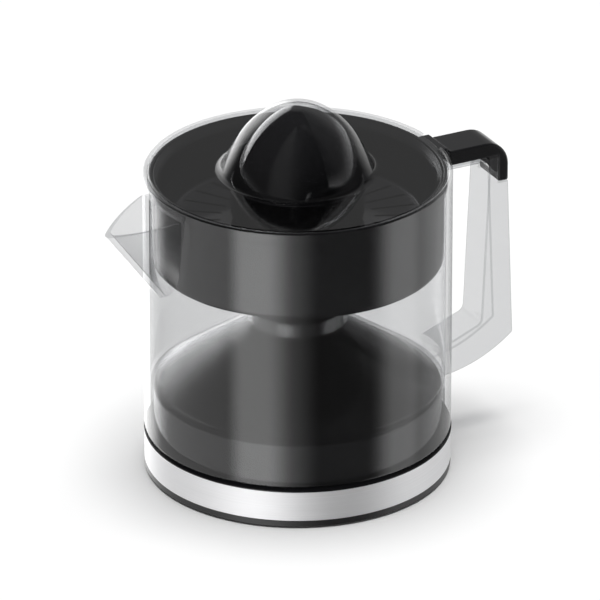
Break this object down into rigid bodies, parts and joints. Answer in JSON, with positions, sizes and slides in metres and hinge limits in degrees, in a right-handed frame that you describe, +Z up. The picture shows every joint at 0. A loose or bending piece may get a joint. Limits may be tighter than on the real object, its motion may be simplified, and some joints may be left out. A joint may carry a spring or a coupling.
{
  "type": "citrus press juicer",
  "caption": "Electric citrus press with a ribbed cone under a clear domed cover, a black juice bowl in a clear jug with spout and handle, and a round black base with a steel band.",
  "frame": {"origin": "on the drive axis, at the table under the feet", "axes": "+Z up along the drive axis, +X towards the handle, -X towards the spout"},
  "size_m": [0.2217, 0.1545, 0.1946],
  "materials": {
    "clear": "gloss",
    "black_gloss": "gloss",
    "black_satin": "satin",
    "brushed_band": "satin",
    "rubber": "matte",
    "zinc_steel": "satin",
    "bright_steel": "polished",
    "bronze": "satin",
    "copper": "satin",
    "ferrite": "matte",
    "white_gear": "satin"
  },
  "bodies": {
    "base": {"base_housing": "black_gloss", "steel_band": "brushed_band", "base_plate": "black_satin", "rubber_feet": "rubber", "base_screws": "zinc_steel", "cord_gland": "rubber", "motor_can": "zinc_steel", "motor_coil": "copper", "rotor_axle": "bright_steel", "gearbox_plate": "zinc_steel", "gearbox_cover": "white_gear", "gearbox_screws": "zinc_steel", "idler_axle": "bright_steel", "shaft_bush": "bronze", "shaft_seal": "rubber", "microswitch": "black_satin"},
    "rotor": {"rotor_magnet": "ferrite", "rotor_pinion": "white_gear"},
    "idler": {"idler_gear": "white_gear"},
    "output": {"output_gear": "white_gear", "return_spring": "bright_steel"},
    "shaft": {"drive_shaft": "bright_steel", "shaft_clip": "bright_steel"},
    "lever": {"switch_lever": "bright_steel"},
    "jug": {"jug": "clear", "handle_cap": "black_gloss"},
    "bowl": {"juice_bowl": "black_gloss"},
    "strainer": {"strainer": "black_gloss"},
    "spindle": {"drive_spindle": "black_satin", "spindle_clip": "bright_steel"},
    "cone": {"reamer": "black_gloss"},
    "cover": {"dust_cover": "clear"}
  },
  "joints": [
    {"name": "jug_lift", "type": "slide", "parent": "base", "child": "jug", "axis": [0, 0, 1], "range_m": [0, 0.14]},
    {"name": "bowl_lift", "type": "slide", "parent": "jug", "child": "bowl", "axis": [0, 0, 1], "range_m": [0, 0.08]},
    {"name": "strainer_lift", "type": "slide", "parent": "bowl", "child": "strainer", "axis": [0, 0, 1], "range_m": [0, 0.06]},
    {"name": "cover_lift", "type": "slide", "parent": "strainer", "child": "cover", "axis": [0, 0, 1], "range_m": [0, 0.06]},
    {"name": "reamer_spin", "type": "hinge", "parent": "strainer", "child": "spindle", "pos_m": [0, 0, 0], "axis": [0, 0, 1], "continuous": true},
    {"name": "cone_press", "type": "slide", "parent": "spindle", "child": "cone", "axis": [0, 0, 1], "range_m": [-0.0025, 0], "stiffness_N_per_m": 400, "springref_m": 0.006},
    {"name": "output_spin", "type": "hinge", "parent": "base", "child": "output", "pos_m": [0, 0, 0], "axis": [0, 0, 1], "continuous": true},
    {"name": "idler_spin", "type": "hinge", "parent": "base", "child": "idler", "pos_m": [0.01928, 0.0143, 0], "axis": [0, 0, 1], "continuous": true},
    {"name": "rotor_spin", "type": "hinge", "parent": "base", "child": "rotor", "pos_m": [0.036, 0, 0], "axis": [0, 0, 1], "continuous": true},
    {"name": "shaft_press", "type": "slide", "parent": "output", "child": "shaft", "axis": [0, 0, 1], "range_m": [-0.0025, 0], "deforming": ["return_spring"]},
    {"name": "switch_swing", "type": "hinge", "parent": "base", "child": "lever", "pos_m": [-0.016, 0, 0.0136], "axis": [0, 1, 0], "range_deg": [0, 9]}
  ],
  "couplings": [
    {"joint": "output_spin", "follows": "reamer_spin", "ratio": 1},
    {"joint": "idler_spin", "follows": "reamer_spin", "ratio": -3},
    {"joint": "rotor_spin", "follows": "reamer_spin", "ratio": 8},
    {"joint": "shaft_press", "follows": "cone_press", "ratio": 1},
    {"joint": "switch_swing", "follows": "cone_press", "rad_per_m": -62.5}
  ]
}
